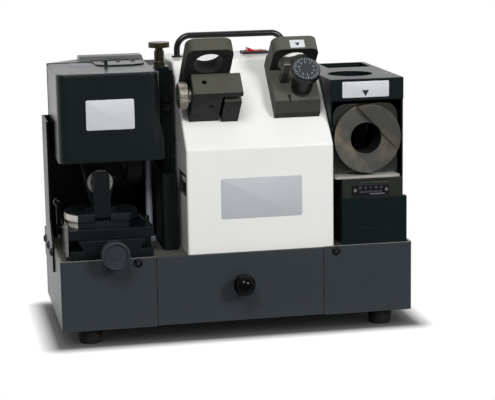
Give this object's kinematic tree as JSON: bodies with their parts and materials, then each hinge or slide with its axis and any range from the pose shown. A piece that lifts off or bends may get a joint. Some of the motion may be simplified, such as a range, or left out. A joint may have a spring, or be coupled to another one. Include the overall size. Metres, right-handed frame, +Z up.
{
  "type": "universal grinder",
  "caption": "Bench-top tool grinder with a hooded end mill station, a swivelling drill point head, setting gauges on a white motor cover and a drawer base.",
  "frame": {"origin": "on the floor under the middle of the machine's box", "axes": "+X to the machine's right along its length, +Y to the rear, +Z up"},
  "size_m": [0.4454, 0.2635, 0.3692],
  "materials": {
    "white_enamel": "glossy white enamel",
    "slate_paint": "dark slate satin paint",
    "hood_paint": "dark green-black satin paint",
    "black_paint": "black gloss paint",
    "black_plastic": "black gloss",
    "dark_plastic": "black matt",
    "red_plastic": "red gloss",
    "foot_rubber": "matt black",
    "phosphate_steel": "dark olive-grey phosphated",
    "machined_steel": "machined grey",
    "bright_steel": "bright ground",
    "zinc_sheet": "zinc plated",
    "chrome": "polished chrome",
    "bronze": "bearing bronze",
    "dark_bronze": "browned bronze",
    "motor_aluminium": "cast",
    "abrasive": "fine bonded grit"
  },
  "bodies": {
    "base": {"base_shell": "slate_paint", "base_floor": "slate_paint", "deck_plate": "slate_paint", "rubber_feet": "foot_rubber", "case_screws": "black_paint", "bright_screws": "bright_steel", "drawer_rails": "zinc_sheet", "left_side_guard": "slate_paint", "cable_gland": "dark_plastic", "main_cover": "white_enamel", "carry_handle": "black_paint", "switch_bezel": "dark_plastic", "motor_body": "motor_aluminium", "motor_cradle": "zinc_sheet", "spindle_bearings": "bright_steel", "slide_base": "phosphate_steel", "guide_post": "chrome", "housing_hinge_leaf": "hood_paint", "inner_column": "hood_paint", "wheel_housing": "hood_paint", "column_shell": "slate_paint", "column_top": "slate_paint", "storage_cups": "slate_paint", "pedestal": "phosphate_steel", "scale_plate": "black_paint", "lower_cover": "slate_paint", "mill_gauge": "phosphate_steel", "drill_gauge": "phosphate_steel", "gauge_pins": "machined_steel"},
    "drawer": {"drawer_front": "slate_paint", "drawer_tray": "zinc_sheet", "drawer_knob": "black_plastic"},
    "rocker": {"switch_rocker": "red_plastic"},
    "spindle": {"spindle_shaft": "bright_steel", "wheel_hubs": "motor_aluminium", "wheel_rims": "abrasive", "wheel_clamps": "zinc_sheet"},
    "feed": {"feed_screw": "bright_steel", "feed_knob": "black_plastic"},
    "cross": {"cross_slide": "phosphate_steel", "gib_and_nut": "bronze", "slide_side_plate": "bright_steel", "swivel_ring": "bright_steel"},
    "table": {"swivel_table": "phosphate_steel", "stop_arm_pin": "bright_steel", "tool_holder": "machined_steel", "tool_sleeve": "phosphate_steel"},
    "stop": {"stop_arm": "phosphate_steel"},
    "clamp": {"clamp_lever": "black_plastic"},
    "slide_lock": {"slide_lock": "bright_steel"},
    "hood": {"hood": "hood_paint", "hood_hinge_leaf": "hood_paint", "lock_body": "dark_bronze", "lock_spring": "bright_steel"},
    "plunger": {"lock_plunger": "dark_bronze"},
    "angle_head": {"swivel_plate": "bright_steel", "angle_block": "machined_steel", "cam_disc": "machined_steel"},
    "gauge_nut": {"mill_gauge_nut": "chrome"},
    "dial": {"gauge_dial": "black_plastic"}
  },
  "joints": [
    {"name": "drawer_slide", "type": "slide", "parent": "base", "child": "drawer", "axis": [0, -1, 0], "range_m": [0, 0.11]},
    {"name": "switch_rock", "type": "hinge", "parent": "base", "child": "rocker", "pos_m": [0.05875, 0.06675, 0.3335], "axis": [0, -1, 0], "range_deg": [0, 20]},
    {"name": "spindle_turn", "type": "hinge", "parent": "base", "child": "spindle", "pos_m": [0.03275, 0.01175, 0.236], "axis": [1, 0, 0], "continuous": true},
    {"name": "feed_turn", "type": "hinge", "parent": "base", "child": "feed", "pos_m": [-0.15225, -0.09825, 0.1155], "axis": [0, 1, 0], "range_deg": [-2165, 3605]},
    {"name": "cross_travel", "type": "slide", "parent": "base", "child": "cross", "axis": [0, 1, 0], "range_m": [-0.012, 0.02]},
    {"name": "table_swivel", "type": "hinge", "parent": "cross", "child": "table", "pos_m": [-0.15925, -0.03325, 0.147], "axis": [0, 0, 1], "range_deg": [-45, 45]},
    {"name": "stop_fold", "type": "hinge", "parent": "table", "child": "stop", "pos_m": [-0.16025, -0.05975, 0.153], "axis": [1, 0, 0], "range_deg": [0, 75]},
    {"name": "clamp_swing", "type": "hinge", "parent": "cross", "child": "clamp", "pos_m": [-0.21135, -0.02825, 0.133], "axis": [1, 0, 0], "range_deg": [-40, 30]},
    {"name": "slide_lock_turn", "type": "hinge", "parent": "cross", "child": "slide_lock", "pos_m": [-0.10725, -0.07125, 0.139], "axis": [0, 0, 1], "range_deg": [-40, 40]},
    {"name": "hood_swing", "type": "hinge", "parent": "base", "child": "hood", "pos_m": [-0.12225, 0.06375, 0.3275], "axis": [-1, 0, 0], "range_deg": [0, 75]},
    {"name": "lock_lift", "type": "slide", "parent": "hood", "child": "plunger", "axis": [0, 0, 1], "range_m": [0, 0.006], "stiffness_N_per_m": 400, "springref_m": -0.004, "deforming": ["lock_spring"]},
    {"name": "head_swivel", "type": "hinge", "parent": "base", "child": "angle_head", "pos_m": [0.17125, -0.07525, 0.186], "axis": [0, 0, 1], "range_deg": [-10, 10]},
    {"name": "gauge_nut_turn", "type": "hinge", "parent": "base", "child": "gauge_nut", "pos_m": [-0.06025, -0.07438, 0.29844], "axis": [1, 0, 0], "range_deg": [-180, 180]},
    {"name": "dial_turn", "type": "hinge", "parent": "base", "child": "dial", "pos_m": [0.09235, -0.072, 0.31547], "axis": [0, -0.7252, 0.6886], "range_deg": [-150, 150]}
  ],
  "couplings": [
    {"joint": "feed_turn", "follows": "cross_travel", "rad_per_m": 3144.7}
  ]
}
